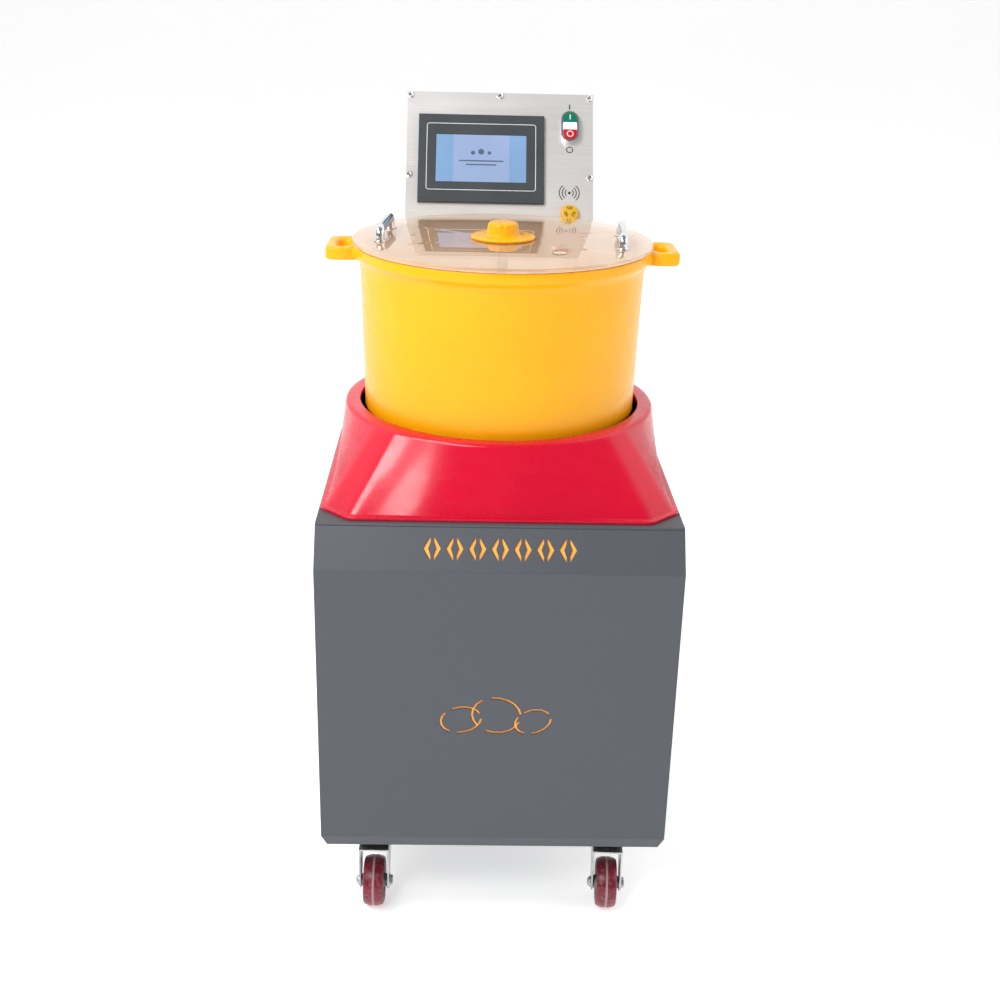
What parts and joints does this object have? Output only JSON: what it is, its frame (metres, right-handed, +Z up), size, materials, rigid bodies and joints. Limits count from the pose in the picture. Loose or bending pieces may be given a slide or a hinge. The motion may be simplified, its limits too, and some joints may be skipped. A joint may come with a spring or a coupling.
{
  "type": "vibratory rock tumbler",
  "caption": "Vibratory tumbler: lidded two-lug bowl in a splash collar on a castered sheet-metal cabinet with sloping touch-screen console.",
  "frame": {"origin": "on the floor, at the centre of the overall box in plan", "axes": "+Z up, +X to the right seen from the front, the front faces -Y"},
  "size_m": [0.524, 0.72, 1.195],
  "materials": {
    "grey_paint": "fine-textured dark grey powder coat",
    "orange_acrylic": "glossy orange sheet behind the cut-outs",
    "red_plastic": "glossy moulded red, scuffed",
    "yellow_plastic": "glossy moulded golden yellow",
    "clear_acrylic": "clear polished sheet",
    "silicone": "pale flat gasket",
    "chrome": "polished",
    "zinc": "zinc plated",
    "steel": "plain machined",
    "stainless": "brushed stainless sheet",
    "spring_steel": "dark drawn wire",
    "rubber": "matt black",
    "cast_grey": "cast and painted grey",
    "lamination_steel": "stacked laminations with winding",
    "bezel_grey": "fine satin dark grey",
    "screen_blue": "lit display behind glass",
    "black_plastic": "satin black",
    "green_plastic": "glossy green",
    "button_red": "glossy red",
    "white_lens": "translucent white",
    "buzzer_yellow": "glossy amber yellow",
    "wheel_grey": "moulded grey core",
    "tread_maroon": "smooth dark red polyurethane tread"
  },
  "bodies": {
    "cabinet": {"front_panel": "grey_paint", "cabinet_shell": "grey_paint", "deck_plate": "grey_paint", "base_plate": "grey_paint", "badge_backing": "orange_acrylic", "motif_backing": "orange_acrylic", "power_inlet": "black_plastic", "splash_collar": "red_plastic", "console_case": "stainless", "console_column": "grey_paint", "control_panel": "stainless", "screen_housing": "bezel_grey", "screen_glass": "screen_blue", "switch_head": "chrome", "switch_contacts": "black_plastic", "pilot_lens": "white_lens", "buzzer": "buzzer_yellow", "spring_1": "spring_steel", "spring_2": "spring_steel", "spring_3": "spring_steel", "spring_4": "spring_steel", "caster_mount_front_left": "black_plastic", "caster_mount_front_right": "black_plastic", "caster_mount_rear_left": "black_plastic", "caster_mount_rear_right": "black_plastic"},
    "fork_front_left": {"caster_fork_front_left": "zinc", "axle_bolt_front_left": "zinc"},
    "wheel_front_left": {"wheel_hub_front_left": "wheel_grey", "wheel_tread_front_left": "tread_maroon"},
    "fork_front_right": {"caster_fork_front_right": "zinc", "axle_bolt_front_right": "zinc"},
    "wheel_front_right": {"wheel_hub_front_right": "wheel_grey", "wheel_tread_front_right": "tread_maroon"},
    "fork_rear_left": {"caster_fork_rear_left": "zinc", "axle_bolt_rear_left": "zinc"},
    "wheel_rear_left": {"wheel_hub_rear_left": "wheel_grey", "wheel_tread_rear_left": "tread_maroon"},
    "fork_rear_right": {"caster_fork_rear_right": "zinc", "axle_bolt_rear_right": "zinc"},
    "wheel_rear_right": {"wheel_hub_rear_right": "wheel_grey", "wheel_tread_rear_right": "tread_maroon"},
    "seat": {"seat_plate": "steel", "bowl_mat": "rubber", "centre_stud": "zinc", "motor_hanger": "steel", "motor_case": "cast_grey", "motor_shield_upper": "cast_grey", "motor_shield_lower": "cast_grey", "motor_stator": "lamination_steel"},
    "rotor": {"motor_rotor": "steel", "offset_weight_upper": "steel", "offset_weight_lower": "steel"},
    "bowl": {"bowl": "yellow_plastic"},
    "lid": {"lid": "clear_acrylic", "lid_seal": "silicone", "lid_handle_left": "chrome", "lid_handle_right": "chrome"},
    "knob": {"clamp_knob": "yellow_plastic"},
    "on_button": {"on_button": "green_plastic"},
    "off_button": {"off_button": "button_red"}
  },
  "joints": [
    {"name": "swivel_front_left", "type": "hinge", "parent": "cabinet", "child": "fork_front_left", "pos_m": [-0.185, -0.2795, 0.11], "axis": [0, 0, 1], "continuous": true},
    {"name": "roll_front_left", "type": "hinge", "parent": "fork_front_left", "child": "wheel_front_left", "pos_m": [-0.18542, -0.3035, 0.04], "axis": [0.9998, -0.0175, 0], "continuous": true},
    {"name": "swivel_front_right", "type": "hinge", "parent": "cabinet", "child": "fork_front_right", "pos_m": [0.185, -0.2795, 0.11], "axis": [0, 0, 1], "continuous": true},
    {"name": "roll_front_right", "type": "hinge", "parent": "fork_front_right", "child": "wheel_front_right", "pos_m": [0.18374, -0.30347, 0.04], "axis": [0.9986, -0.0523, 0], "continuous": true},
    {"name": "swivel_rear_left", "type": "hinge", "parent": "cabinet", "child": "fork_rear_left", "pos_m": [-0.185, 0.275, 0.11], "axis": [0, 0, 1], "continuous": true},
    {"name": "roll_rear_left", "type": "hinge", "parent": "fork_rear_left", "child": "wheel_rear_left", "pos_m": [-0.18834, 0.25123, 0.04], "axis": [0.9903, -0.1392, 0], "continuous": true},
    {"name": "swivel_rear_right", "type": "hinge", "parent": "cabinet", "child": "fork_rear_right", "pos_m": [0.185, 0.275, 0.11], "axis": [0, 0, 1], "continuous": true},
    {"name": "roll_rear_right", "type": "hinge", "parent": "fork_rear_right", "child": "wheel_rear_right", "pos_m": [0.18917, 0.25137, 0.04], "axis": [0.9848, 0.1736, 0], "continuous": true},
    {"name": "seat_bounce", "type": "slide", "parent": "cabinet", "child": "seat", "axis": [0, 0, 1], "range_m": [-0.006, 0.006], "stiffness_N_per_m": 60000, "springref_m": 0.011, "deforming": ["spring_1", "spring_2", "spring_3", "spring_4"]},
    {"name": "motor_spin", "type": "hinge", "parent": "seat", "child": "rotor", "pos_m": [0, -0.055, 0.54], "axis": [0, 0, 1], "continuous": true},
    {"name": "bowl_lift", "type": "slide", "parent": "seat", "child": "bowl", "axis": [0, 0, 1], "range_m": [0, 0.34]},
    {"name": "lid_lift", "type": "slide", "parent": "bowl", "child": "lid", "axis": [0, 0, 1], "range_m": [0, 0.2]},
    {"name": "knob_lift", "type": "slide", "parent": "lid", "child": "knob", "axis": [0, 0, 1], "range_m": [0, 0.06]},
    {"name": "on_button_press", "type": "slide", "parent": "cabinet", "child": "on_button", "axis": [0, 0.8377, -0.5461], "range_m": [0, 0.003], "stiffness_N_per_m": 400, "springref_m": -0.002},
    {"name": "off_button_press", "type": "slide", "parent": "cabinet", "child": "off_button", "axis": [0, 0.8377, -0.5461], "range_m": [0, 0.003], "stiffness_N_per_m": 400, "springref_m": -0.002}
  ]
}
